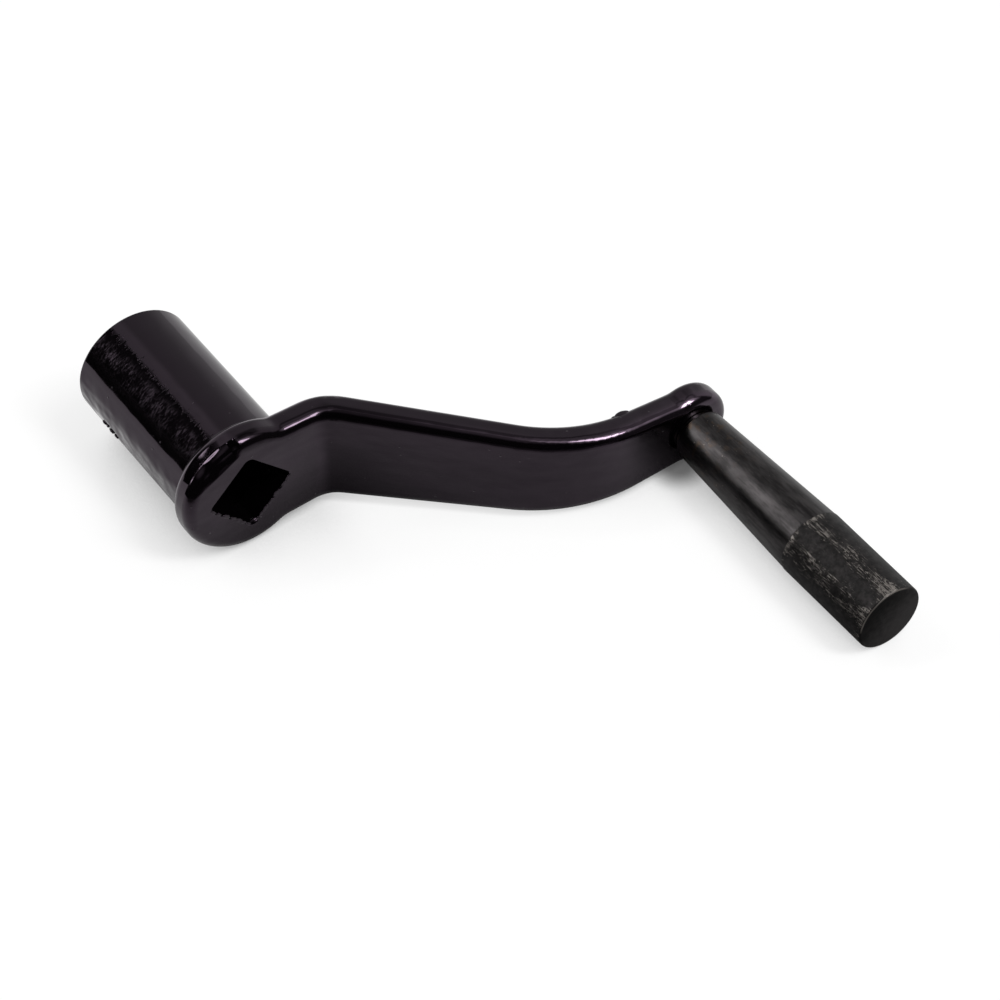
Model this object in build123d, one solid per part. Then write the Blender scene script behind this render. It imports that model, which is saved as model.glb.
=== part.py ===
from build123d import *
import math
import os

# Hand crank: a flat steel bar, set on edge and bent twice, joins a tubular
# hub with a square drive hole to a revolving steel grip. Millimetres.
#
# Frame: the origin is where the hub's axis meets the hub's front face. The
# arm runs along +X, the hub tube points back along +Y and the grip points
# forward along -Y. +Z is up as the crank lies on a flat surface, on the hub,
# the grip eye and the grip's free end. The pieces are first modelled with the
# hub's axis exactly along Y, and then laid down together.

# Driving dimensions: arm
throw = 150.0                # hub axis to grip axis
arm_offset = 64.85           # forward set of the grip eye from the hub
bar_thickness = 11.5
bar_edge_radius = 4.0
root_width = 43.4            # bar's width at the first bend
root_lift = 0.9              # bar's middle above the hub's axis there
neck_drop = 2.6              # bar's lower edge, from there to the hub's axis
tip_width = 28.4             # bar's width carried on to the grip axis
first_bend_x = 34.5          # hub axis to the corner of the first bend
bend_angle = 44.4            # degrees, the same for both bends
first_bend_inner_radius = 12.5
second_bend_inner_radius = 51.5

# Driving dimensions: hub
hub_radius = 26.4
hub_neck_radius = 9.0
square_side = 24.0
square_corner_radius = 2.4
square_edge_break = 0.5
tube_radius = 23.2
tube_wall = 5.0
tube_length = 70.5
tube_rim_radius = 1.2
tube_bore_chamfer = 0.8
weld_leg = 0.8
weld_hollow = 0.08

# Driving dimensions: grip eye and grip
grip_eye_swell = 1.2         # eye's edge past the bar's edge
grip_eye_neck_radius = 14.0
spigot_radius = 7.0
collar_radius = 8.7
collar_length = 1.8
grip_base_radius = 10.25
grip_base_chamfer = 0.4
grip_turned_radius = 13.25   # end of the turned taper
grip_bar_radius = 13.4       # unturned bar behind the taper
grip_taper_length = 65.0
grip_bar_length = 43.0
grip_end_radius = 0.8
washer_radius = 10.4
washer_thickness = 1.5
head_radius = 8.8
head_height = 2.6

# Named clearances
running_clearance = 0.05     # spigot in the grip eye, radial
end_play = 0.3               # collar to eye, and head to washer
washer_clearance = 0.3       # washer's hole around the spigot, radial

# Derived places, all in the hub's frame
grip_eye_radius = tip_width / 2 + grip_eye_swell
grip_eye_front = -arm_offset
grip_eye_back = grip_eye_front + bar_thickness
tube_seat = bar_thickness
washer_back = grip_eye_back + washer_thickness
head_seat = washer_back + end_play
collar_front = grip_eye_front - end_play
shoulder = collar_front - collar_length
taper_end = shoulder - grip_taper_length
grip_end = taper_end - grip_bar_length
second_bend_x = first_bend_x + arm_offset / math.tan(math.radians(bend_angle))


def bar_on_edge():
    """The bent bar as a slab, with the width still uncut."""
    middle = bar_thickness / 2
    overrun = 2 * (hub_radius + grip_eye_radius)
    slab_width = 4 * hub_radius
    centre_line = FilletPolyline(
        (-overrun, middle),
        (first_bend_x, middle),
        (second_bend_x, middle - arm_offset),
        (throw + overrun, middle - arm_offset),
        radius=(
            first_bend_inner_radius + middle,
            second_bend_inner_radius + middle,
        ),
    )
    edge_view = make_face(offset(centre_line, middle, side=Side.BOTH).edges())
    return extrude(edge_view, slab_width / 2, both=True)


def front_outline():
    """The arm as seen along the hub's axis: two eyes and a tapering bar."""
    root_top = root_lift + root_width / 2
    root_bottom = root_lift - root_width / 2
    bar = Polygon(
        (0, root_bottom - neck_drop),
        (first_bend_x, root_bottom),
        (throw, -tip_width / 2),
        (throw, tip_width / 2),
        (first_bend_x, root_top),
        (0, root_top),
        align=None,
    )
    outline = bar + Circle(hub_radius) + Pos(throw, 0) * Circle(grip_eye_radius)
    necks = outline.vertices().filter_by_position(Axis.X, 0, hub_radius)
    outline = fillet(necks, hub_neck_radius)
    grip_side = throw - grip_eye_radius
    necks = outline.vertices().filter_by_position(Axis.X, grip_side, throw)
    return fillet(necks, grip_eye_neck_radius)


def crank_arm():
    """One forging: hub eye, double bend and grip eye, rounded all along."""
    depth = 2 * (arm_offset + bar_thickness)
    outline = extrude(Plane.XZ * front_outline(), depth, both=True)
    blank = bar_on_edge() & outline
    rounded = blank.edges().filter_by(Axis.Y, reverse=True)
    rounded = rounded.filter_by(Axis.Z, reverse=True)
    forging = fillet(rounded, bar_edge_radius)
    return forging - square_drive() - grip_bore()


def square_drive():
    """Drive hole, set corner down, with its front edge broken."""
    side = RectangleRounded(square_side, square_side, square_corner_radius)
    mouth = RectangleRounded(
        square_side + 2 * square_edge_break,
        square_side + 2 * square_edge_break,
        square_corner_radius + square_edge_break,
    )
    corner_down = Rot(Z=45)
    hole = extrude(Plane.XZ * corner_down * side, 2 * bar_thickness, both=True)
    inside = Plane.XZ.offset(-square_edge_break)
    flare = [Plane.XZ * corner_down * mouth, inside * corner_down * side]
    return hole + loft(Sketch() + flare)


def grip_bore():
    """Round hole through the grip eye."""
    circle = Circle(spigot_radius + running_clearance)
    bore_plane = Plane.XZ.offset(-grip_eye_back)
    return extrude(bore_plane * Pos(throw, 0) * circle, bar_thickness)


def hub_tube():
    """Open tube on the back of the hub eye."""
    section = Circle(tube_radius) - Circle(tube_radius - tube_wall)
    tube = extrude(Plane.XZ.offset(-tube_seat) * section, -tube_length)
    rim = tube.edges().group_by(Axis.Y)[-1].sort_by(SortBy.RADIUS)
    tube = fillet(rim[-1], tube_rim_radius)
    mouth = tube.edges().group_by(Axis.Y)[-1].sort_by(SortBy.RADIUS)
    return chamfer(mouth[0], tube_bore_chamfer)


def hub_weld(arm, tube):
    """Weld bead round the corner between the tube and the hub eye."""
    toe_on_tube = Vector(tube_radius, tube_seat + weld_leg)
    toe_on_eye = Vector(tube_radius + weld_leg, tube_seat - weld_leg / 2)
    root = Vector(tube_radius - weld_leg / 2, tube_seat - weld_leg / 2)
    face = toe_on_eye - toe_on_tube
    outward = Vector(-face.Y, face.X).normalized()
    hollow = (toe_on_tube + toe_on_eye) * 0.5 - outward * weld_hollow
    bead_line = ThreePointArc(toe_on_tube, hollow, toe_on_eye)
    sides = Polyline(toe_on_eye, root, (root.X, toe_on_tube.Y), toe_on_tube)
    bead = revolve(make_face([bead_line, *sides.edges()]), Axis.Y)
    return bead - tube - arm


def grip_washer():
    """Plain washer between the grip eye and the riveted head."""
    section = Circle(washer_radius) - Circle(spigot_radius + washer_clearance)
    seat = Plane.XZ.offset(-grip_eye_back)
    return extrude(seat * Pos(throw, 0) * section, -washer_thickness)


def grip_handle():
    """Grip turned from bar, with its spigot riveted over behind the eye."""
    head_top = head_seat + head_height
    side = Polyline(
        (0, head_top),
        (0, grip_end),
        (grip_bar_radius, grip_end),
        (grip_bar_radius, taper_end),
        (grip_turned_radius, taper_end),
        (grip_base_radius, shoulder - grip_base_chamfer),
        (grip_base_radius - grip_base_chamfer, shoulder),
        (collar_radius, shoulder),
        (collar_radius, collar_front),
        (spigot_radius, collar_front),
        (spigot_radius, head_seat),
        (head_radius, head_seat),
    )
    dome = TangentArc((0, head_top), (head_radius, head_seat), tangent=(1, 0))
    profile = make_face([*side.edges(), dome])
    grip = Pos(throw, 0, 0) * revolve(profile, Axis.Y)
    return fillet(grip.edges().group_by(Axis.Y)[0], grip_end_radius)


def resting_place():
    """Turn that lays the crank on hub, grip eye and grip end."""
    hub_low = Vector(0, bar_edge_radius, -hub_radius)
    eye_low = Vector(throw, grip_eye_front + bar_edge_radius, -grip_eye_radius)
    end_low = Vector(throw, grip_end + grip_end_radius, -grip_bar_radius)
    up = (end_low - hub_low).cross(eye_low - hub_low).normalized()
    roll = math.degrees(math.atan2(-up.X, up.Z))
    pitch = math.degrees(math.atan2(up.Y, math.hypot(up.X, up.Z)))
    return Rot(X=pitch) * Rot(Y=roll)


def write_parts():
    """Lay every piece down and write one STEP file for each."""
    os.makedirs("parts", exist_ok=True)
    arm = crank_arm()
    tube = hub_tube()
    pieces = {
        "crank_arm": arm,
        "hub_tube": tube,
        "hub_weld": hub_weld(arm, tube),
        "grip_handle": grip_handle(),
        "grip_washer": grip_washer(),
    }
    lie = resting_place()
    for name, piece in pieces.items():
        export_step(lie * piece, f"parts/{name}.step")


write_parts()
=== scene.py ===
"""Hand crank in black enamel with a bare steel grip: finishes, studio, camera."""

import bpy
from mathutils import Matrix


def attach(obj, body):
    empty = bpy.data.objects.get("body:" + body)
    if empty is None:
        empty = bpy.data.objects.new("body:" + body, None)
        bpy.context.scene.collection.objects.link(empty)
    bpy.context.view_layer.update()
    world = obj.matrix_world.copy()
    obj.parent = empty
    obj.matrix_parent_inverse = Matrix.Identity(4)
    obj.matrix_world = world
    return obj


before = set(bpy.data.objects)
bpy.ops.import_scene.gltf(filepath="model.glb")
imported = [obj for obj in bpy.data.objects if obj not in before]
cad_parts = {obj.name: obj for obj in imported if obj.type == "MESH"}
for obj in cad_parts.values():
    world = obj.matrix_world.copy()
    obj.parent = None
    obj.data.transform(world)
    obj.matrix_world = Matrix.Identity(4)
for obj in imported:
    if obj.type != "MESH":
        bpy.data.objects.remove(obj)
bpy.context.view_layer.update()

import logging
import math
from abc import ABC, abstractmethod
from dataclasses import dataclass
from enum import Enum
from functools import reduce

import bmesh
import bpy
from mathutils import Euler, Matrix, Vector, noise

LOG = logging.getLogger("crank")
MM = 0.001
WHITE = (1.0, 1.0, 1.0, 1.0)

Rgb = tuple[float, float, float]
Span = tuple[float, float]  # one that runs downwards is a step that fades out
Limits = tuple[Span, Span]
Socket = bpy.types.NodeSocket
Feed = Socket | float | tuple
Term = tuple[Feed, float]
Skin = tuple[Feed, Feed, Feed]


class Body(Enum):
    """The two bodies of the crank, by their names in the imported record."""

    CRANK = "crank"
    GRIP = "grip"


class Slot(Enum):
    """The record's material slots."""

    ENAMEL = "enamel"
    BARE_STEEL = "bare_steel"


@dataclass(frozen=True)
class Lie:
    """How the crank lies: pieces are drawn along the hub's axis, then laid.

    The roll turns about Y and the pitch about X, both about the origin, in
    degrees.
    """

    roll: float = 3.7590
    pitch: float = 1.0091

    def matrix(self) -> Matrix:
        """Works out the lie.

        Returns:
            The turn from the hub's frame to the resting crank.
        """
        roll = Matrix.Rotation(math.radians(self.roll), 4, "Y")
        pitch = Matrix.Rotation(math.radians(self.pitch), 4, "X")
        return pitch @ roll

    def mapping(self, centre: Vector) -> dict[str, Vector | Euler]:
        """Gives a Mapping node's values that undo the lie about a point.

        Args:
            centre: the point of the resting crank that becomes the origin.

        Returns:
            The location and the rotation of a POINT mapping.
        """
        back = self.matrix().inverted()
        return {"Location": -(back @ centre), "Rotation": back.to_euler()}


LIE = Lie()


class Graph:
    """The nodes of one material or world, added and joined in short."""

    def __init__(self, owner: bpy.types.Material | bpy.types.World) -> None:
        """Clears the owner's nodes.

        Args:
            owner: the material or world that holds the nodes.
        """
        owner.use_nodes = True
        self.tree = owner.node_tree
        self.tree.nodes.clear()

    def add(
        self, kind: str, feeds: dict | None = None, **settings: object
    ) -> bpy.types.Node:
        """Adds a node.

        Args:
            kind: the node's type, without its ShaderNode prefix.
            feeds: socket name or index to a value or an output socket.
            settings: attributes of the node.

        Returns:
            The new node.
        """
        node = self.tree.nodes.new("ShaderNode" + kind)
        for name, value in settings.items():
            setattr(node, name, value)
        for name, value in (feeds or {}).items():
            self.feed(node.inputs[name], value)
        return node

    def feed(self, socket: Socket, value: Feed) -> None:
        """Links an output to a socket, or sets the socket's own value.

        Args:
            socket: the input.
            value: an output, a number or a tuple.
        """
        if isinstance(value, Socket):
            self.tree.links.new(value, socket)
        else:
            socket.default_value = value

    def math(self, operation: str, *values: Feed) -> Socket:
        """Adds a Math node and returns its output."""
        node = self.add("Math", dict(enumerate(values)), operation=operation)
        return node.outputs[0]

    def dot(self, vector: Feed, other: Feed) -> Socket:
        """Adds a dot product and returns its value."""
        node = self.add("VectorMath", {0: vector, 1: other}, operation="DOT_PRODUCT")
        return node.outputs["Value"]

    def axes(self, vector: Feed) -> tuple[Socket, ...]:
        """Returns a vector's X, Y and Z."""
        return tuple(self.add("SeparateXYZ", {"Vector": vector}).outputs)

    def radius(self, up: Feed, right: Feed) -> Socket:
        """Returns the distance from an axis."""
        square = self.math("MULTIPLY_ADD", right, right, self.math("MULTIPLY", up, up))
        return self.math("SQRT", square)

    def angle(self, up: Feed, right: Feed) -> Socket:
        """Returns the angle about an axis, in degrees."""
        return self.math("DEGREES", self.math("ARCTAN2", up, right))

    def scaled(self, vector: Feed, sizes: Rgb) -> Socket:
        """Divides a vector by three sizes, to stretch a pattern."""
        feeds = {0: vector, 1: tuple(1.0 / size for size in sizes)}
        return self.add("VectorMath", feeds, operation="MULTIPLY").outputs[0]

    def total(self, *terms: Term) -> Socket:
        """Adds up pairs of a socket or number and what it is multiplied by."""
        return reduce(lambda a, b: self.math("MULTIPLY_ADD", *b, a), terms, 0.0)

    def product(self, *factors: Feed) -> Socket:
        """Multiplies two or more sockets and numbers."""
        return reduce(lambda a, b: self.math("MULTIPLY", a, b), factors)

    def changed(self, value: Feed, change: float) -> Socket:
        """Returns 1 where the value is 0, and 1 plus the change where it is 1."""
        return self.total((value, change), (1.0, 1.0))

    def rest(self, value: Feed) -> Socket:
        """Returns 1 minus the value."""
        return self.math("SUBTRACT", 1.0, value)

    def step(self, value: Feed, start: float, end: float) -> Socket:
        """Adds a soft step.

        Args:
            value: what is tested.
            start: where the step begins.
            end: where it ends, which may be below the start.

        Returns:
            0 on the start's side and 1 on the end's, smooth in between.
        """
        node = self.add(
            "MapRange",
            {"Value": value, "From Min": start, "From Max": end},
            interpolation_type="SMOOTHSTEP",
        )
        return node.outputs["Result"]

    def between(self, value: Feed, low: Span, high: Span) -> Socket:
        """Returns 1 inside two soft limits and 0 outside them."""
        below = self.step(value, *reversed(high))
        return self.math("MULTIPLY", self.step(value, *low), below)

    def colour(self, factor: Feed, first: Feed, second: Feed) -> Socket:
        """Mixes two colours.

        Args:
            factor: 0 for the first and 1 for the second.
            first: a colour socket, or red, green and blue.
            second: the same.

        Returns:
            The mixed colour.
        """
        node = self.add("Mix", data_type="RGBA")
        node.clamp_factor = True
        for index, value in ((0, factor), (6, first), (7, second)):
            if isinstance(value, tuple):
                value = (*value, 1.0)
            self.feed(node.inputs[index], value)
        return node.outputs[2]

    def mix(self, factor: Feed, first: Feed, second: Feed) -> Socket:
        """Mixes two numbers and returns the result."""
        node = self.add("Mix", {0: factor, 2: first, 3: second}, data_type="FLOAT")
        return node.outputs[0]

    def bump(self, height: Feed) -> Socket:
        """Turns a height in metres into a normal."""
        return self.add("Bump", {"Height": height, "Distance": 1.0}).outputs["Normal"]

    def either(self, choice: Feed, first: Socket, second: Socket) -> Socket:
        """Returns the first shader where the choice is 0 and the second at 1."""
        return self.add("MixShader", {0: choice, 1: first, 2: second}).outputs[0]

    def surface(self, sockets: dict[str, Feed]) -> None:
        """Ends a material with the main shader, given its sockets."""
        shader = self.add("BsdfPrincipled", sockets)
        self.add("OutputMaterial", {"Surface": shader.outputs[0]})


@dataclass(frozen=True)
class Grain:
    """A noise pattern, which is 0.5 on average.

    Its sizes are along X, Y and Z, in metres. Without them, its scale is in
    waves per metre.
    """

    detail: float
    sizes: Rgb | None = None
    scale: float = 1.0
    rough: float = 0.5

    def on(self, g: Graph, place: Socket) -> Socket:
        """Lays the pattern on a surface.

        Args:
            g: the material's nodes.
            place: its coordinates.

        Returns:
            The pattern's value.
        """
        feeds = {"Scale": self.scale, "Detail": self.detail, "Roughness": self.rough}
        feeds["Vector"] = g.scaled(place, self.sizes) if self.sizes else place
        return g.add("TexNoise", feeds).outputs["Fac"]


@dataclass(frozen=True)
class Change:
    """What a level changes by across a soft step."""

    start: float
    end: float
    by: float

    def at(self, g: Graph, value: Feed) -> Term:
        """Returns the step and the change, as one term of a sum."""
        return g.step(value, self.start, self.end), self.by


@dataclass(frozen=True)
class Enamel:
    """Thick glossy black paint over forged steel.

    Waves are the long sags of the wet film, peel is its fine skin, and nibs
    are dust that settled in it. Heights and sizes are in metres.
    """

    name: str
    slot: Slot = Slot.ENAMEL
    base: Rgb = (0.0011, 0.0008, 0.0011)
    tint: Rgb = (1.0, 0.75, 0.99)
    ior: float = 1.5
    level: float = 0.5
    haze: Grain = Grain(4.0, scale=90.0)
    haze_step: Span = (0.35, 0.75)
    roughness: Span = (0.05, 0.09)
    wave_size: float = 0.012
    wave_rough: float = 0.4
    wave_height: float = 0.00016
    peel_size: float = 0.0016
    peel_rough: float = 0.55
    peel_height: float = 0.000003
    nib_size: float = 0.0026
    nib_dot: Span = (0.2, 0.06)
    nib_share: Span = (0.9, 0.92)
    nib_height: float = 0.00008
    nib_base: Rgb = (0.03, 0.028, 0.029)

    def skin(self, g: Graph, place: Socket, height: Socket, shine: Socket) -> Skin:
        """Returns the height, the roughness and the specular level as they are."""
        return height, shine, self.level

    def material(self) -> bpy.types.Material:
        """Makes the paint.

        Returns:
            A material on Object coordinates.
        """
        made = bpy.data.materials.new(self.name)
        g = Graph(made)
        place = g.add("TexCoord").outputs["Object"]
        waves = Grain(1.0, scale=1.0 / self.wave_size, rough=self.wave_rough)
        peel = Grain(2.0, scale=1.0 / self.peel_size, rough=self.peel_rough)
        cells = g.add("TexVoronoi", {"Vector": place, "Scale": 1.0 / self.nib_size})
        parts = g.add("SeparateColor", {"Color": cells.outputs["Color"]}).outputs
        dot = g.step(cells.outputs["Distance"], *self.nib_dot)
        nibs = g.product(dot, g.step(parts["Red"], *self.nib_share))
        height = g.total(
            (waves.on(g, place), self.wave_height),
            (peel.on(g, place), self.peel_height),
            (nibs, self.nib_height),
        )
        hazy = g.step(self.haze.on(g, place), *self.haze_step)
        shine = g.mix(hazy, *self.roughness)
        height, roughness, level = self.skin(g, place, height, shine)
        g.surface(
            {
                "Base Color": g.colour(nibs, self.base, self.nib_base),
                "Roughness": roughness,
                "IOR": self.ior,
                "Specular IOR Level": level,
                "Specular Tint": (*self.tint, 1.0),
                "Normal": g.bump(height),
            }
        )
        return made


@dataclass(frozen=True)
class PatchyEnamel(Enamel, ABC):
    """Enamel that is matt in places named in the hub's frame, where its reflection is
    cut down, in part as painted shade.
    """

    dull_level: float = 0.04
    dull_roughness: float = 0.3

    @abstractmethod
    def matt(self, g: Graph, local: Socket) -> Socket:
        """Returns 1 where the film is made dull, and so not glossy."""

    @abstractmethod
    def relief(self, g: Graph, local: Socket, matt: Socket) -> tuple[Term, ...]:
        """Returns what the piece adds to the film's height, as terms of a sum."""

    def gloss(self, g: Graph, local: Socket) -> Feed:
        """Returns the glossy film's specular level."""
        return self.level

    def grit(self, g: Graph, local: Socket) -> Feed:
        """Returns the specular level of what is not glossy."""
        return self.dull_level

    def skin(self, g: Graph, place: Socket, height: Socket, shine: Socket) -> Skin:
        """Adds the piece's relief, its matt places and its uneven gloss.

        Args:
            g: the material's nodes.
            place: the Object coordinates.
            height: the film's height, in metres.
            shine: the film's roughness.

        Returns:
            The height, the roughness and the specular level.
        """
        undone = {"Vector": place, **LIE.mapping(Vector())}
        local = g.add("Mapping", undone).outputs[0]
        matt = self.matt(g, local)
        return (
            g.total(*self.relief(g, local, matt), (height, 1.0)),
            g.mix(matt, shine, self.dull_roughness),
            g.mix(matt, self.gloss(g, local), self.grit(g, local)),
        )


@dataclass(frozen=True)
class ArmEnamel(PatchyEnamel):
    """The forging's paint, over a hand-ground rim and a rough drive hole.

    A flat is ground across the hub eye's rim, and it ends in a crest. Angles
    are in degrees about the hub's axis from +X, and lengths are in metres.
    """

    flat_angle: float = 120.3
    flat_from_axis: float = 0.01924
    flat_slope: float = 0.771
    flat_reach: float = 0.0246
    flat_ease: float = 0.001
    flat_start: Span = (96.0, 105.0)
    flat_end: Change = Change(127.0, 146.0, -0.45)
    flat_back: Span = (0.0042, 0.0039)
    flat_deep: Limits = ((108.0, 116.0), (130.0, 134.0))
    flat_deeper: float = 0.0009
    crest_start: Span = (104.0, 118.0)
    crest_end: Span = (122.0, 133.0)
    crest_rim: Span = (0.0195, 0.0225)
    crest_depth: float = 0.00154
    crest_width: float = 0.0001
    crest_front: Span = (0.0005, 0.0041)
    crest_back: Span = (-0.0008, 0.00408)
    crest_rise: float = 0.0006
    crest_fall: float = 0.0009
    crest_foot: float = 0.000779
    brushed: Grain = Grain(3.0, (0.013, 0.013, 0.0013))
    brushed_height: float = 0.000014
    hammered: Grain = Grain(1.0, (0.009, 0.009, 0.006))
    hammered_height: float = 0.0002
    rough: Grain = Grain(3.0, scale=900.0)
    rough_height: float = 0.0003
    hole_wall: Span = (0.0126, 0.0122)
    hole_depth: Span = (0.0004, 0.001)
    hole_edge_grain: Grain = Grain(3.0, scale=800.0)
    hole_edge_reach: float = 0.0026
    hole_edge_limit: Span = (0.0109, 0.0106)
    hole_edge_side: Span = (-0.002, -0.005)
    hole_edge_front: Span = (0.003, 0.002)
    bar_slope: float = -0.979
    bar_start: float = 0.0338
    eye_front: float = -0.06485
    # specular levels by place, below, save the cloudy ones: a painted reflection map of
    # painted shade and painted highlight
    root_painted_reflection: float = 1.25
    bend_painted_reflection: tuple[Change, ...] = (
        Change(0.0285, 0.0335, -0.74),
        Change(0.036, 0.062, 0.34),
    )
    bend_upper: Change = Change(0.0, 0.015, -0.55)
    tip_painted_reflection: tuple[Change, ...] = (Change(0.06, 0.1, 0.16), Change(0.1, 0.122, 0.42))
    low_side: Span = (0.006, -0.018)
    low_run: Span = (0.09, 0.05)
    low_painted_reflection: float = -0.38
    top_slope: float = 0.0727
    top_edge: Span = (0.0205, 0.022)
    top_run: Span = (-0.008, -0.002)
    top_painted_reflection: float = -0.32
    top_gain: Change = Change(0.03, 0.08, 0.7)
    cloudy: Grain = Grain(4.0, (0.02, 0.02, 0.004), rough=0.6)
    cloudy_gloss: Span = (0.5, 0.75)
    front_face: Span = (0.006, 0.002)
    back_edge: Span = (0.0082, 0.0095)
    edge_painted_reflection: Span = (1.15, 2.8)
    neck_angle: Limits = ((74.0, 80.0), (93.0, 97.0))
    neck_depth: Limits = ((0.002, 0.0028), (0.0042, 0.0052))
    neck_painted_reflection: Span = (-0.35, 0.5)

    def flat(self, g: Graph, radius: Socket, angle: Socket, depth: Socket) -> Socket:
        """Works out the ground flat.

        Args:
            g: the material's nodes.
            radius: from the hub's axis.
            angle: about it.
            depth: behind the hub's front face.

        Returns:
            How far the place stands past the flat's plane, across the rim.
        """
        reach = g.math("MINIMUM", radius, self.flat_reach)
        off = g.math("RADIANS", g.math("SUBTRACT", angle, self.flat_angle))
        toward = g.math("COSINE", off)
        past = g.math("MULTIPLY_ADD", reach, toward, -self.flat_from_axis)
        past = g.math("MAXIMUM", past, 0.0)
        deeper = g.between(angle, *self.flat_deep)
        back = g.math("MULTIPLY_ADD", deeper, -self.flat_deeper, depth)
        return g.product(
            past,
            g.math("DIVIDE", past, g.math("ADD", past, self.flat_ease)),
            g.step(angle, *self.flat_start),
            g.total(self.flat_end.at(g, angle), (1.0, 1.0)),
            g.step(back, *self.flat_back),
        )

    def crest(self, g: Graph, radius: Socket, angle: Socket, depth: Socket) -> Socket:
        """Works out the crest between the flat and the hub's front face.

        Args:
            g: the material's nodes.
            radius: from the hub's axis.
            angle: about it.
            depth: behind the hub's front face.

        Returns:
            The crest's height.
        """
        front = g.math("MINIMUM", depth, self.crest_depth)
        back = g.math("MAXIMUM", depth, self.crest_depth + self.crest_width)
        ridge = g.total(
            (g.step(front, *self.crest_front), self.crest_rise),
            (g.step(back, *self.crest_back), -self.crest_fall),
            (1.0, self.crest_foot),
        )
        along = g.between(angle, self.crest_start, self.crest_end)
        return g.product(ridge, along, g.step(radius, *self.crest_rim))

    def relief(self, g: Graph, local: Socket, matt: Socket) -> tuple[Term, ...]:
        """Adds the ground flat, its crest, the brushed skin and the hole.

        Args:
            g: the material's nodes.
            local: the place in the hub's frame.
            matt: 1 where the film is missing.

        Returns:
            Terms of the film's height, in metres.
        """
        right, depth, up = g.axes(local)
        polar = g.radius(up, right), g.angle(up, right)
        rough = g.product(self.hole(g, local), self.rough.on(g, local))
        return (
            (self.flat(g, *polar, depth), -self.flat_slope),
            (self.crest(g, *polar, depth), 1.0),
            (self.brushed.on(g, local), self.brushed_height),
            (self.hammered.on(g, local), self.hammered_height),
            (rough, self.rough_height),
        )

    def square(self, g: Graph, local: Socket) -> Socket:
        """Measures the drive hole's square, which is set corner down.

        Args:
            g: the material's nodes.
            local: the place in the hub's frame.

        Returns:
            The half side of the square that runs through the place.
        """
        right, _, up = g.axes(local)
        rising = g.math("ABSOLUTE", g.math("ADD", right, up))
        falling = g.math("ABSOLUTE", g.math("SUBTRACT", right, up))
        return g.math("MULTIPLY", g.math("MAXIMUM", rising, falling), math.sqrt(0.5))

    def hole(self, g: Graph, local: Socket) -> Socket:
        """Returns 1 on the walls of the drive hole."""
        near = g.step(self.square(g, local), *self.hole_wall)
        return g.product(near, g.step(g.axes(local)[1], *self.hole_depth))

    def matt(self, g: Graph, local: Socket) -> Socket:
        """Finds where the reflection is cut down, as painted shade in the drive hole.

        Args:
            g: the material's nodes.
            local: the place in the hub's frame.

        Returns:
            1 on the drive hole's walls, whose reflection is cut down as painted shade
            in the recess, and along the hole's ragged lower edges, which are made dull
            and dark with it.
        """
        _, depth, up = g.axes(local)
        hole_edge_grain = self.hole_edge_grain.on(g, local)
        edge = g.math("MULTIPLY_ADD", hole_edge_grain, -self.hole_edge_reach, self.square(g, local))
        lower = g.product(
            g.step(edge, *self.hole_edge_limit),
            g.step(up, *self.hole_edge_side),
            g.step(depth, *self.hole_edge_front),
        )
        # painted shade: the hole's walls and its ragged lower edges lose their
        # reflection
        return g.math("MAXIMUM", self.hole(g, local), lower)

    def gloss(self, g: Graph, local: Socket) -> Socket:
        """Paints the reflection by place: the specular level is cut past the first bend
        and raised towards the second and the tip, at the root and along the back edge,
        and lowered on the lower side, the top edge and the neck, as painted shade and
        painted highlight.

        Args:
            g: the material's nodes.
            local: the place in the hub's frame.

        Returns:
            The specular level.
        """
        run, depth, up = g.axes(local)
        upper = g.total(self.bend_upper.at(g, up), (1.0, 1.0))
        bend_dimming = (change.at(g, run) for change in self.bend_painted_reflection)
        front = g.total(
            (1.0, self.root_painted_reflection),
            *((g.product(share, upper), by) for share, by in bend_dimming),
            *(change.at(g, run) for change in self.tip_painted_reflection),
        )
        low = g.product(g.step(up, *self.low_side), g.step(run, *self.low_run))
        top = g.step(g.math("MULTIPLY_ADD", run, self.top_slope, up), *self.top_edge)
        top = g.product(
            g.product(top, g.step(run, *self.top_run)),
            g.total(self.top_gain.at(g, run), (1.0, self.top_painted_reflection)),
        )
        swing, middle = self.cloudy_gloss
        front = g.product(
            front,
            g.changed(low, self.low_painted_reflection),
            g.changed(top, 1.0),
            g.total((self.cloudy.on(g, local), swing), (1.0, middle)),
        )
        sides = g.mix(g.step(depth, *self.back_edge), *self.edge_painted_reflection)
        slant = g.math("MULTIPLY_ADD", run, self.bar_slope, self.bar_start)
        face = g.math("MAXIMUM", g.math("MINIMUM", slant, 0.0), self.eye_front)
        behind = g.math("SUBTRACT", depth, face)
        film = g.mix(g.step(behind, *self.front_face), sides, front)
        neck = g.product(
            g.between(g.angle(up, run), *self.neck_angle),
            g.between(depth, *self.neck_depth),
        )
        loss, plain = self.neck_painted_reflection
        return g.product(film, g.total((neck, loss), (1.0, plain)))


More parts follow.
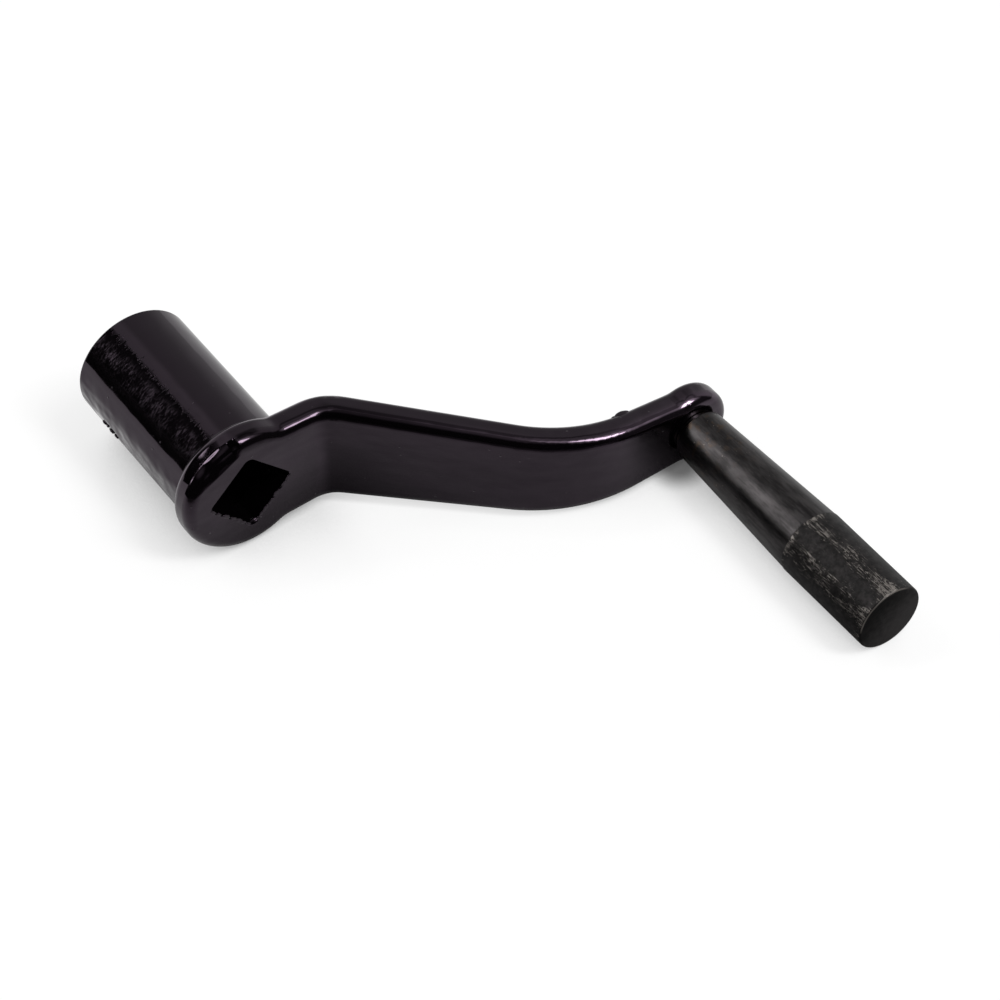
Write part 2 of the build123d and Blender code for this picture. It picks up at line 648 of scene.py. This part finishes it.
@dataclass(frozen=True)
class TubeEnamel(PatchyEnamel):
    """The tube's paint: a dull band along its top, with sags down one side.

    The band's reflection is cut down into a dark band, painted shade in the
    mirrored light, with dust bumps in it and streaks that keep some reflection as
    painted glints. Angles are in degrees about the tube's axis, up from -X, and
    lengths are in metres. The band's fringe is how far its upper edge wanders.
    """

    dull_band: Limits = ((30.0, 44.0), (67.8, 69.3))
    sagged: Limits = ((-70.0, -45.0), (8.0, 24.0))
    skin_radius: Span = (0.0219, 0.0227)
    bore_radius: Span = (0.0185, 0.0215)
    far_end: Span = (0.0812, 0.0818)
    fringe: float = 25.0
    fringe_grain: Grain = Grain(3.0, rough=0.6)
    fringe_rates: Span = (0.1, 900.0)
    streaks: Grain = Grain(4.0, (0.0022, 0.0007, 0.0022), rough=0.7)
    streak_drift: Grain = Grain(2.0, scale=160.0)
    streak_share: float = 0.6
    streak_step: Span = (0.74, 1.05)
    streak_band: Limits = ((36.0, 48.0), (56.0, 66.0))
    streak_level: Span = (0.42, 0.015)
    dust: Grain = Grain(3.0, (0.0012, 0.0007, 0.0012))
    dust_drift: Grain = Grain(2.0, scale=130.0)
    dust_step: Span = (0.35, 0.65)
    dust_share: Span = (0.35, 1.0)
    dust_near: Span = (0.07, 0.03)
    dust_near_share: Span = (0.6, 1.0)
    dust_height: float = 0.00022
    sags: Grain = Grain(1.0, (0.006, 0.0095, 0.006))
    sag_height: float = 0.0012

    def sides(self, g: Graph, local: Socket) -> tuple[Socket, Socket, Socket]:
        """Returns the place to the left, along the tube and up."""
        right, along, up = g.axes(local)
        return g.math("MULTIPLY", right, -1.0), along, up

    def matt(self, g: Graph, local: Socket) -> Socket:
        """Finds the dull band, whose upper edge is ragged, where the reflection is cut
        down as painted shade.

        Args:
            g: the material's nodes.
            local: the place in the hub's frame.

        Returns:
            1 in the band, on the tube's outside.
        """
        left, along, up = self.sides(g, local)
        angle = g.angle(up, left)
        round_rate, along_rate = self.fringe_rates
        wrapped = {
            0: g.math("MULTIPLY", angle, round_rate),
            1: g.math("MULTIPLY", along, along_rate),
        }
        shift = self.fringe_grain.on(g, g.add("CombineXYZ", wrapped).outputs[0])
        shift = g.math("SUBTRACT", shift, 0.5)
        lower, upper = self.dull_band
        return g.product(
            g.step(angle, *lower),
            g.step(g.math("MULTIPLY_ADD", shift, self.fringe, angle), *reversed(upper)),
            g.step(g.radius(up, left), *self.skin_radius),
            g.step(along, *reversed(self.far_end)),
        )

    def grit(self, g: Graph, local: Socket) -> Socket:
        """Gives the dull band's specular level: low, with streaks that still reflect,
        which are painted glints.

        Args:
            g: the material's nodes.
            local: the place in the hub's frame.

        Returns:
            The specular level of the dust.
        """
        left, _, up = self.sides(g, local)
        drift = self.streak_drift.on(g, local)
        streaks = g.total((self.streaks.on(g, local), 1.0), (drift, self.streak_share))
        shine = g.product(
            g.step(streaks, *self.streak_step),
            g.between(g.angle(up, left), *self.streak_band),
        )
        # painted glints: streaks of higher specular level inside the dark band
        return g.math("MULTIPLY_ADD", shine, *self.streak_level)

    def relief(self, g: Graph, local: Socket, matt: Socket) -> tuple[Term, ...]:
        """Adds the dust and the sags.

        Args:
            g: the material's nodes.
            local: the place in the hub's frame.
            matt: 1 in the dull band.

        Returns:
            Terms of the film's height, in metres.
        """
        left, along, up = self.sides(g, local)
        drift = g.step(self.dust_drift.on(g, local), *self.dust_step)
        dust = g.product(
            matt,
            g.mix(drift, *self.dust_share),
            g.mix(g.step(along, *self.dust_near), *self.dust_near_share),
            self.dust.on(g, local),
        )
        sags = g.product(
            self.sags.on(g, local),
            g.between(g.angle(up, left), *self.sagged),
            g.step(g.radius(up, left), *self.bore_radius),
        )
        return (dust, self.dust_height), (sags, self.sag_height)


@dataclass(frozen=True)
class GripSteel:
    """Dark steel: a turned taper near the arm, raw mill scale at the end.

    Places along the grip are measured from the grip eye's front face, and
    angles in degrees about its axis from +X. The end face carries painted light,
    lighter on one side, and part of its rim a pale painted highlight.
    """

    name: str
    slot: Slot = Slot.BARE_STEEL
    centre: Rgb = (0.1497, -0.0647, -0.0109)
    taper_end: Span = (0.0673, 0.0678)
    taper_edge: Grain = Grain(2.0, scale=260.0)
    taper_ragged: float = 0.0012
    end_face: Span = (0.1095, 0.1098)
    dark: Rgb = (0.009, 0.0082, 0.0082)
    scale: Rgb = (0.038, 0.0345, 0.0345)
    turned: Rgb = (0.034, 0.0315, 0.032)
    bright: Rgb = (0.088, 0.082, 0.083)
    worn: Rgb = (0.34, 0.31, 0.285)
    brown: Rgb = (0.11, 0.075, 0.052)
    pale: Rgb = (0.3, 0.27, 0.24)
    fine_scrape: Grain = Grain(4.0, (0.00042, 0.0036, 0.00042), rough=0.65)
    chips: Grain = Grain(4.0, (0.0007, 0.0012, 0.0007), rough=0.7)
    chips_fewer: float = 0.02
    broad_wear: Grain = Grain(3.0, (0.003, 0.009, 0.003))
    broad_weight: float = 0.34
    top_wear: Limits = ((74.0, 90.0), (104.0, 116.0))
    top_weight: float = 0.12
    side_wear: Limits = ((124.0, 140.0), (160.0, 178.0))
    side_weight: float = 0.1
    ring_wear: Limits = ((0.0664, 0.067), (0.0678, 0.0698))
    ring_weight: float = 0.1
    lip_wear: Change = Change(0.103, 0.1095, 0.08)
    wear_step: Span = (0.81, 1.0)
    rim_along: Limits = ((0.1097, 0.1099), (0.1101, 0.1103))
    rim_radius: Span = (0.0124, 0.0129)
    rim_angle: Limits = ((50.0, 75.0), (165.0, 185.0))
    rim_painted_highlight: float = 0.8
    mottle: Grain = Grain(5.0, scale=420.0, rough=0.65)
    mottle_step: Span = (0.3, 0.75)
    lit_edge: float = 0.03
    lit_step: Span = (-0.002, 0.03)
    cloud: Grain = Grain(4.0, (0.004, 0.01, 0.004))
    streaks: Grain = Grain(4.0, (0.0012, 0.008, 0.0012), rough=0.6)
    tone_shares: Span = (0.5, 0.5)
    tone_step: Span = (0.36, 0.66)
    stain: Grain = Grain(4.0, scale=300.0)
    stain_step: Span = (0.52, 0.7)
    stain_along: Span = (0.04, 0.004)
    stain_share: float = 0.6
    pits: Grain = Grain(2.0, scale=1300.0)
    pits_step: Span = (0.7, 0.78)
    pits_along: Span = (0.06, 0.01)
    rings: Grain = Grain(2.0, (0.05, 0.00016, 0.05))
    rings_height: float = 0.000003
    grooves: Grain = Grain(4.0, (0.0007, 0.0032, 0.0007), rough=0.6)
    grooves_height: float = 0.00004
    mottle_height: float = 0.00006
    scraped_height: float = 0.00002
    metallic: Span = (1.0, 0.7)
    turned_roughness: Span = (0.27, 0.37)
    raw_roughness: Span = (0.46, 0.34)

    def scrape(self, g: Graph, local: Socket, along: Socket, angle: Socket) -> Socket:
        """Scrapes the mill scale off, mostly lengthways.

        Args:
            g: the material's nodes.
            local: the place in the grip's frame.
            along: the place along the grip.
            angle: the angle about the grip.

        Returns:
            1 where the scale is scraped off.
        """
        spread = g.total(
            (g.between(angle, *self.top_wear), self.top_weight),
            (g.between(angle, *self.side_wear), self.side_weight),
            (g.between(along, *self.ring_wear), self.ring_weight),
            self.lip_wear.at(g, along),
            (self.broad_wear.on(g, local), self.broad_weight),
        )
        chips = g.math("SUBTRACT", self.chips.on(g, local), self.chips_fewer)
        marks = g.math("MAXIMUM", self.fine_scrape.on(g, local), chips)
        return g.step(g.math("ADD", marks, spread), *self.wear_step)

    def turned_tone(
        self, g: Graph, local: Socket, along: Socket, streaks: Socket
    ) -> Socket:
        """Colours the turned taper, with rust stains and pits near the arm.

        Args:
            g: the material's nodes.
            local: the place in the grip's frame.
            along: the place along the grip.
            streaks: shared with the taper's roughness.

        Returns:
            The colour.
        """
        mixed = g.total(*zip((self.cloud.on(g, local), streaks), self.tone_shares))
        tone = g.colour(g.step(mixed, *self.tone_step), self.turned, self.bright)
        stain = g.product(
            g.step(self.stain.on(g, local), *self.stain_step),
            g.step(along, *self.stain_along),
        )
        tone = g.colour(g.product(stain, self.stain_share), tone, self.brown)
        pits = g.product(
            g.step(self.pits.on(g, local), *self.pits_step),
            g.step(along, *self.pits_along),
        )
        return g.colour(pits, tone, self.pale)

    def raw_tone(self, g: Graph, local: Socket, mottle: Socket, face: Socket) -> Socket:
        """Colours the mill scale, and the end face, which carries painted light:
        lighter on one side.

        Args:
            g: the material's nodes.
            local: the place in the grip's frame.
            mottle: the scale's mottle.
            face: 1 on the end face.

        Returns:
            The colour.
        """
        right, _, up = g.axes(local)
        # painted light: the end face runs from dark to bright across one side
        side = g.math("SUBTRACT", right, up)
        side = g.math("MULTIPLY_ADD", mottle, self.lit_edge, side)
        lit = g.colour(g.step(side, *self.lit_step), self.dark, self.bright)
        tone = g.colour(g.step(mottle, *self.mottle_step), self.dark, self.scale)
        return g.colour(face, tone, lit)

    def material(self) -> bpy.types.Material:
        """Makes the steel.

        Returns:
            A material on Object coordinates.
        """
        made = bpy.data.materials.new(self.name)
        g = Graph(made)
        place = g.add("TexCoord").outputs["Object"]
        centred = {"Vector": place, **LIE.mapping(Vector(self.centre))}
        local = g.add("Mapping", centred).outputs[0]
        right, back, up = g.axes(local)
        along = g.math("MULTIPLY", back, -1.0)
        radius, angle = g.radius(up, right), g.angle(up, right)
        edge = self.taper_edge.on(g, local)
        edge = g.math("MULTIPLY_ADD", edge, self.taper_ragged, along)
        raw = g.step(edge, *self.taper_end)
        face = g.step(along, *self.end_face)
        scraped = g.product(self.scrape(g, local, along, angle), raw, g.rest(face))
        # painted highlight: a pale line along the end face's rim, on one side only,
        # merged into the scraped mask and its worn colour
        rim = g.product(
            g.between(along, *self.rim_along),
            g.step(radius, *self.rim_radius),
            g.between(angle, *self.rim_angle),
        )
        scraped = g.math("MAXIMUM", scraped, g.product(rim, self.rim_painted_highlight))
        mottle = self.mottle.on(g, local)
        streaks = self.streaks.on(g, local)
        turned_tone = self.turned_tone(g, local, along, streaks)
        raw_tone = g.colour(scraped, self.raw_tone(g, local, mottle, face), self.worn)
        height = g.total(
            (g.product(self.rings.on(g, local), g.rest(raw)), self.rings_height),
            (g.product(self.grooves.on(g, local), raw), self.grooves_height),
            (g.product(mottle, raw), self.mottle_height),
            (scraped, self.scraped_height),
        )
        turned_roughness = g.mix(streaks, *self.turned_roughness)
        raw_roughness = g.mix(scraped, *self.raw_roughness)
        g.surface(
            {
                "Base Color": g.colour(raw, turned_tone, raw_tone),
                "Metallic": g.mix(raw, *self.metallic),
                "Roughness": g.mix(raw, turned_roughness, raw_roughness),
                "Normal": g.bump(height),
            }
        )
        return made


Finish = Enamel | GripSteel


def dress(nodes: dict[str, Body], finish: Finish) -> None:
    """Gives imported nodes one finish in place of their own, and reports each.

    Args:
        nodes: the nodes' names, each with the body that it rides on.
        finish: the paint or steel.
    """
    material = finish.material()
    for name, body in nodes.items():
        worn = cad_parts[name].data.materials
        worn.clear()
        worn.append(material)
        LOG.info("%s, %s: %s, %s", name, body.value, finish.name, finish.slot.value)


@dataclass(frozen=True)
class Blob:
    """A lump of thick paint, in the hub's frame and in millimetres.

    Its turn is in degrees. Rough is how far noise moves its skin, as a share
    of its size, and pitch is how fine that noise is.
    """

    centre: Rgb
    sizes: Rgb
    turn: Rgb = (0.0, 0.0, 0.0)
    rough: float = 0.3
    pitch: float = 1.6
    fineness: int = 4
    noise_start: Rgb = (7.3, 1.9, 4.1)
    noise_kind: tuple[float, float, int] = (0.8, 2.0, 3)

    def grow(self, mesh: bmesh.types.BMesh, seed: int) -> None:
        """Adds the lump to a mesh.

        Args:
            mesh: takes the closed skin of the lump.
            seed: moves the noise that makes the lump uneven.
        """
        made = bmesh.ops.create_icosphere(mesh, subdivisions=self.fineness, radius=1.0)
        sizes = Matrix.Diagonal((*self.sizes, 1.0))
        turn = Euler([math.radians(a) for a in self.turn]).to_matrix().to_4x4()
        place = LIE.matrix() @ Matrix.Translation(Vector(self.centre) * MM)
        stride, *rest = self.noise_start
        for vert in made["verts"]:
            spot = vert.co * self.pitch + Vector((stride * seed, *rest))
            vert.co *= 1.0 + self.rough * noise.fractal(spot, *self.noise_kind)
        bmesh.ops.transform(
            mesh, matrix=place @ Matrix.Scale(MM, 4) @ turn @ sizes, verts=made["verts"]
        )


@dataclass(frozen=True)
class Rag:
    """The ragged film along the drive hole's two lower edges, in millimetres.

    Each edge runs from a side corner of the square to its lower corner. The
    corner is how far both are from the hub's axis.
    """

    scraps: int = 7
    corner: float = 17.6
    inset: float = 0.5
    wander: float = 0.6
    wander_row: Span = (3.7, 0.4)
    size: float = 1.5
    size_wander: float = 1.1
    size_row: Span = (2.3, 5.1)
    depth: float = 0.06
    thickness: float = 0.13
    height_share: float = 0.45
    lean: float = -45.0
    rough: float = 0.4
    pitch: float = 1.5

    def uneven(self, index: int, row: Span) -> float:
        """Returns a number between -1 and 1, always the same for a scrap."""
        stride, place = row
        return noise.noise(Vector((stride * index, place, 0.0)))

    def scrap(self, index: int, side: float) -> Blob:
        """Shapes one scrap of film.

        Args:
            index: its place along the edge, from the side corner down.
            side: 1 for the right edge and -1 for the left one.

        Returns:
            The scrap, as a thin lump.
        """
        drift = self.uneven(index, self.wander_row)
        share = (index + 0.5 + self.wander * drift) / self.scraps
        size = self.size + self.size_wander * self.uneven(index, self.size_row)
        reach = self.corner - self.inset + self.inset * side * drift
        return Blob(
            (side * reach * (1.0 - share), self.depth, -reach * share),
            (size, self.thickness, self.height_share * size),
            (0.0, self.lean * side, 0.0),
            self.rough,
            self.pitch,
        )

    def film(self) -> tuple[Blob, ...]:
        """Returns every scrap, the left of each pair first."""
        order = [(index, side) for index in range(self.scraps) for side in (-1.0, 1.0)]
        return tuple(self.scrap(index, side) for index, side in order)


@dataclass(frozen=True)
class Flaws:
    """Lumps, runs and ragged film that the paint left on the crank."""

    body: Body = Body.CRANK
    finish: Enamel = Enamel("thick_enamel", wave_height=0.0)
    arm_lumps: tuple[Blob, ...] = (
        Blob((123.3, -55.4, 14.9), (3.4, 2.3, 0.95), (0.0, 4.0, 0.0), 0.07, 1.0),
        Blob((119.9, -55.3, 15.3), (1.6, 1.3, 0.5), (0.0, 4.0, 0.0), 0.1, 1.0),
    )
    tube_burrs: tuple[Blob, ...] = (
        Blob((-22.4, 65.4, -6.4), (0.45, 1.3, 0.5)),
        Blob((-22.6, 62.9, -5.9), (0.35, 0.8, 0.5)),
        Blob((-22.5, 60.2, -6.3), (0.45, 1.5, 0.55)),
        Blob((-22.4, 57.0, -6.6), (0.4, 1.2, 0.45)),
    )
    eye_run: tuple[Blob, ...] = (
        Blob((-23.3, 1.0, -5.9), (1.3, 0.7, 0.45), (0.0, 20.0, 0.0), 0.1, 1.0),
    )
    hole_drop: tuple[Blob, ...] = (
        Blob((0.6, 0.4, -15.6), (2.0, 1.2, 0.45), (34.0, -14.0, 0.0), 0.02),
    )
    hole_rag: Rag = Rag()

    def build(self) -> None:
        """Makes each group of lumps as one piece that rides the crank."""
        material = self.finish.material()
        groups = {
            "arm_paint_lump": self.arm_lumps,
            "tube_paint_burr": self.tube_burrs,
            "eye_paint_run": self.eye_run,
            "hole_paint_drop": self.hole_drop,
            "hole_paint_rag": self.hole_rag.film(),
        }
        for name, blobs in groups.items():
            piece = self.piece(name, blobs)
            piece.data.materials.append(material)
            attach(piece, self.body.value)
            LOG.info("%s: %d lumps", name, len(blobs))

    def piece(self, name: str, blobs: tuple[Blob, ...]) -> bpy.types.Object:
        """Grows lumps as one smooth mesh.

        Args:
            name: the piece's name.
            blobs: its lumps.

        Returns:
            The piece, in the scene and still bare.
        """
        mesh = bmesh.new()
        for seed, blob in enumerate(blobs):
            blob.grow(mesh, seed)
        bmesh.ops.recalc_face_normals(mesh, faces=mesh.faces)
        data = bpy.data.meshes.new(name)
        mesh.to_mesh(data)
        mesh.free()
        data.shade_smooth()
        piece = bpy.data.objects.new(name, data)
        bpy.context.scene.collection.objects.link(piece)
        return piece


@dataclass(frozen=True)
class Arm:
    """The forged arm with its two eyes."""

    finish: Enamel = ArmEnamel("arm_enamel")

    def build(self) -> None:
        """Dresses the forging."""
        dress({"crank_arm": Body.CRANK}, self.finish)


@dataclass(frozen=True)
class Hub:
    """The hub's tube and its weld."""

    finish: Enamel = TubeEnamel("hub_enamel")

    def build(self) -> None:
        """Dresses the tube and the weld bead."""
        dress({"hub_tube": Body.CRANK, "hub_weld": Body.CRANK}, self.finish)


@dataclass(frozen=True)
class Grip:
    """The revolving grip, and the washer that its riveted head runs on."""

    finish: GripSteel = GripSteel("grip_steel")

    def build(self) -> None:
        """Dresses the grip and the washer."""
        dress({"grip_handle": Body.GRIP, "grip_washer": Body.CRANK}, self.finish)


@dataclass(frozen=True)
class SoftBox:
    """A lit patch of the studio's walls and ceiling, in degrees.

    Azimuth 0 is behind the crank, along +Y, and 90 is to its right. A slope
    raises the patch by that many degrees for each degree of azimuth.
    """

    name: str
    azimuth: float
    half_width: float
    low: float
    high: float
    radiance: float
    side_blur: float
    end_blur: float
    slope: float = 0.0

    def share(self, g: Graph, aim: Socket, elevation: Socket) -> Socket:
        """Places the patch, with soft edges.

        Args:
            g: the world's nodes.
            aim: the direction that is looked at.
            elevation: its height above the horizon, in radians.

        Returns:
            1 where the patch is and 0 outside it.
        """
        turn = math.radians(self.azimuth)
        across = g.dot(aim, (math.cos(turn), -math.sin(turn), 0.0))
        ahead = g.dot(aim, (math.sin(turn), math.cos(turn), 0.0))
        off = g.math("ARCTAN2", across, ahead)
        rise = g.math("MULTIPLY_ADD", off, -self.slope, elevation)
        off = g.math("ABSOLUTE", off)
        half, side, end = self.half_width, self.side_blur / 2, self.end_blur / 2
        inside = g.step(off, math.radians(half + side), math.radians(half - side))
        above = (math.radians(self.low - end), math.radians(self.low + end))
        below = (math.radians(self.high - end), math.radians(self.high + end))
        return g.math("MULTIPLY", inside, g.between(rise, above, below))


@dataclass(frozen=True)
class FloorWhite:
    """Matt white that the camera sees near its full white, in metres.

    Glossy rays see a glowing floor, a painted reflection darker towards its front,
    with painted shade where the occlusion term finds little open sky. The camera
    sees a glow with the same kind of painted shade, lifted as painted light in the
    arm's lee and to its right, and a painted shadow spot in the nook under the
    grip's neck.
    """

    name: str = "floor_white"
    matt: float = 0.82
    sky_reach: float = 0.1
    sky_samples: int = 6
    mirrored_slant: float = 0.35
    mirrored: tuple[Change, ...] = (
        Change(-0.15, -0.03, 0.44),
        Change(-0.035, -0.01, 0.12),
        Change(0.0, 0.05, 0.15),
    )
    mirrored_front: float = 0.06
    mirrored_painted_shade: Span = (0.34, 0.64)
    lee: Limits = ((0.02, 0.05), (0.085, 0.12))
    lee_painted_light: float = 0.2
    right_painted_light: Change = Change(0.02, 0.05, 0.12)
    painted_shade_step: Span = (-0.14, 0.7)
    # centre and reach of a painted shadow spot under the grip's neck
    nook: Span = (0.143, -0.0635)
    nook_reach: Span = (0.003, 0.0145)
    glow: Span = (0.2, 0.78)
    painted_shadow_tone: Rgb = (0.075, 0.075, 0.075)
    white: Rgb = (0.3, 0.3, 0.3)

    def sheen(self, g: Graph, right: Socket, back: Socket, sky: Socket) -> Socket:
        """Gives the glowing floor that the paint mirrors: a painted reflection, darker
        towards its front, with painted shade near the crank.

        Args:
            g: the material's nodes.
            right: the place along X.
            back: the place along Y.
            sky: how much open sky the place has.

        Returns:
            A shader.
        """
        # painted reflection: glowing bands by place, dimmed as painted shade where the
        # occlusion term is low
        depth = g.math("ADD", back, g.math("MULTIPLY", right, self.mirrored_slant))
        bands = (change.at(g, depth) for change in self.mirrored)
        level = g.total(*bands, (1.0, self.mirrored_front))
        level = g.math("MULTIPLY", level, g.step(sky, *self.mirrored_painted_shade))
        return g.add("Emission", {"Strength": level}).outputs[0]

    def seen(self, g: Graph, right: Socket, back: Socket, sky: Socket) -> Socket:
        """Gives the floor as the camera sees it, with painted shade from the occlusion
        term and painted light added by place.

        Args:
            g: the material's nodes.
            right: the place along X.
            back: the place along Y.
            sky: how much open sky the place has.

        Returns:
            A shader.
        """
        # painted shade from the occlusion term, lifted as painted light in the arm's
        # lee and to its right
        open_sky = g.total(
            (sky, 1.0),
            (g.between(right, *self.lee), self.lee_painted_light),
            self.right_painted_light.at(g, right),
        )
        # painted shadow spot under the grip's neck: a darker tone and a weaker glow
        # near the nook
        away = [
            g.math("SUBTRACT", place, at) for place, at in zip((right, back), self.nook)
        ]
        clear = g.step(g.radius(*away), *self.nook_reach)
        glow = g.product(g.step(open_sky, *self.painted_shade_step), g.mix(clear, *self.glow))
        tone = g.colour(clear, self.painted_shadow_tone, self.white)
        feeds = {
            0: g.add("BsdfDiffuse", {"Color": tone}).outputs[0],
            1: g.add("Emission", {"Strength": glow}).outputs[0],
        }
        return g.add("AddShader", feeds).outputs[0]

    def material(self) -> bpy.types.Material:
        """Makes the floor's white.

        Returns:
            A material on Object coordinates.
        """
        made = bpy.data.materials.new(self.name)
        g = Graph(made)
        right, back, _ = g.axes(g.add("TexCoord").outputs["Object"])
        sky = g.add(
            "AmbientOcclusion", {"Distance": self.sky_reach}, samples=self.sky_samples
        ).outputs["AO"]
        matt = g.add("BsdfDiffuse", {"Color": (self.matt, self.matt, self.matt, 1.0)})
        ray = g.add("LightPath").outputs
        sheen = self.sheen(g, right, back, sky)
        lighting = g.either(ray["Is Glossy Ray"], matt.outputs[0], sheen)
        shown = g.either(ray["Is Camera Ray"], lighting, self.seen(g, right, back, sky))
        g.add("OutputMaterial", {"Surface": shown})
        return made


@dataclass(frozen=True)
class Studio:
    """Pale floor, soft boxes and the dim room around them."""

    floor_level: float = -0.026268
    floor_half: float = 8.0
    floor_finish: FloorWhite = FloorWhite()
    dim: float = 0.012
    boxes: tuple[SoftBox, ...] = (
        SoftBox("back_wall", 20.7, 33.2, -4.0, 54.7, 0.36, 5.4, 6.2),
        SoftBox("right_wall", 80.7, 27.7, -10.0, 50.7, 0.52, 16.0, 11.8),
        SoftBox("back_column", -3.8, 15.9, 4.1, 57.7, 0.19, 14.7, 9.9),
        SoftBox("right_fill", 119.7, 43.6, 0.1, 49.8, 0.04, 29.8, 25.6),
        SoftBox("overhead", 80.5, 82.8, 54.9, 90.3, 0.52, 33.9, 11.6),
        SoftBox("ceiling", -107.1, 97.0, 63.6, 107.0, 0.26, 8.0, 28.6),
        SoftBox("key", 149.0, 10.0, 41.0, 65.0, 16.0, 5.0, 6.0),
        SoftBox("key_halo", 143.2, 23.3, 39.9, 75.7, 2.0, 26.7, 25.3),
        SoftBox("rear_strip", -40.0, 19.0, 39.5, 49.0, 7.0, 8.0, 5.0, 0.85),
    )
    gap: SoftBox = SoftBox("gap", 47.0, 11.4, 49.0, 82.9, 0.4, 15.1, 12.5)

    def build(self) -> None:
        """Makes the floor and the room."""
        self.floor()
        self.room()

    def floor(self) -> None:
        """Makes the pale floor that the crank lies on, which isn't part of it."""
        mesh = bpy.data.meshes.new("floor")
        sheet = bmesh.new()
        bmesh.ops.create_grid(sheet, x_segments=1, y_segments=1, size=self.floor_half)
        bmesh.ops.translate(sheet, verts=sheet.verts, vec=(0.0, 0.0, self.floor_level))
        sheet.to_mesh(mesh)
        sheet.free()
        floor = bpy.data.objects.new("floor", mesh)
        bpy.context.scene.collection.objects.link(floor)
        floor.data.materials.append(self.floor_finish.material())

    def room(self) -> None:
        """Makes the soft boxes' room, which the camera sees as white.

        The boxes' light adds up, and in the gap only its share of that is left.
        """
        world = bpy.data.worlds.new("room")
        bpy.context.scene.world = world
        g = Graph(world)
        aim = g.add("TexCoord").outputs["Generated"]
        elevation = g.math("ARCSINE", g.dot(aim, (0.0, 0.0, 1.0)))
        level = self.dim
        for box in self.boxes:
            lit = g.math("MULTIPLY", box.share(g, aim, elevation), box.radiance)
            level = g.math("ADD", level, lit)
            LOG.info("soft box %s", box.name)
        gap = self.gap.share(g, aim, elevation)
        dark = g.math("MULTIPLY", gap, 1.0 - self.gap.radiance)
        level = g.math("MULTIPLY", level, g.rest(dark))
        lit = g.add("Background", {"Color": WHITE, "Strength": level})
        white = g.add("Background", {"Color": WHITE, "Strength": 1.0})
        camera_ray = g.add("LightPath").outputs["Is Camera Ray"]
        shown = g.either(camera_ray, lit.outputs[0], white.outputs[0])
        g.add("OutputWorld", {"Surface": shown})


@dataclass(frozen=True)
class Viewpoint:
    """The camera: where it stands, how it is turned and its lens.

    Its turn is in degrees, and its lens and sensor are in millimetres.
    """

    location: Rgb = (-0.33212117, -0.69594012, 0.8321812)
    turn: Rgb = (42.09617, 2.77492, -35.16298)
    lens: float = 114.1585
    sensor: float = 36.0
    nearest: float = 0.01

    def build(self) -> None:
        """Adds the camera and makes it the scene's own."""
        data = bpy.data.cameras.new("camera")
        data.lens = self.lens
        data.sensor_width = self.sensor
        data.clip_start = self.nearest
        camera = bpy.data.objects.new("camera", data)
        bpy.context.scene.collection.objects.link(camera)
        camera.location = self.location
        camera.rotation_euler = Euler([math.radians(a) for a in self.turn])
        bpy.context.scene.camera = camera


def write_sizes() -> None:
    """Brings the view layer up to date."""
    bpy.context.view_layer.update()


def main() -> None:
    """Builds the crank's looks, the studio and the camera."""
    logging.basicConfig(level=logging.INFO, format="%(name)s %(message)s")
    for part in (Arm(), Hub(), Grip(), Flaws(), Studio(), Viewpoint()):
        part.build()
        LOG.info("%s is built", type(part).__name__)
    bpy.context.scene.view_settings.view_transform = "Standard"
    write_sizes()


if __name__ == "__main__":
    main()
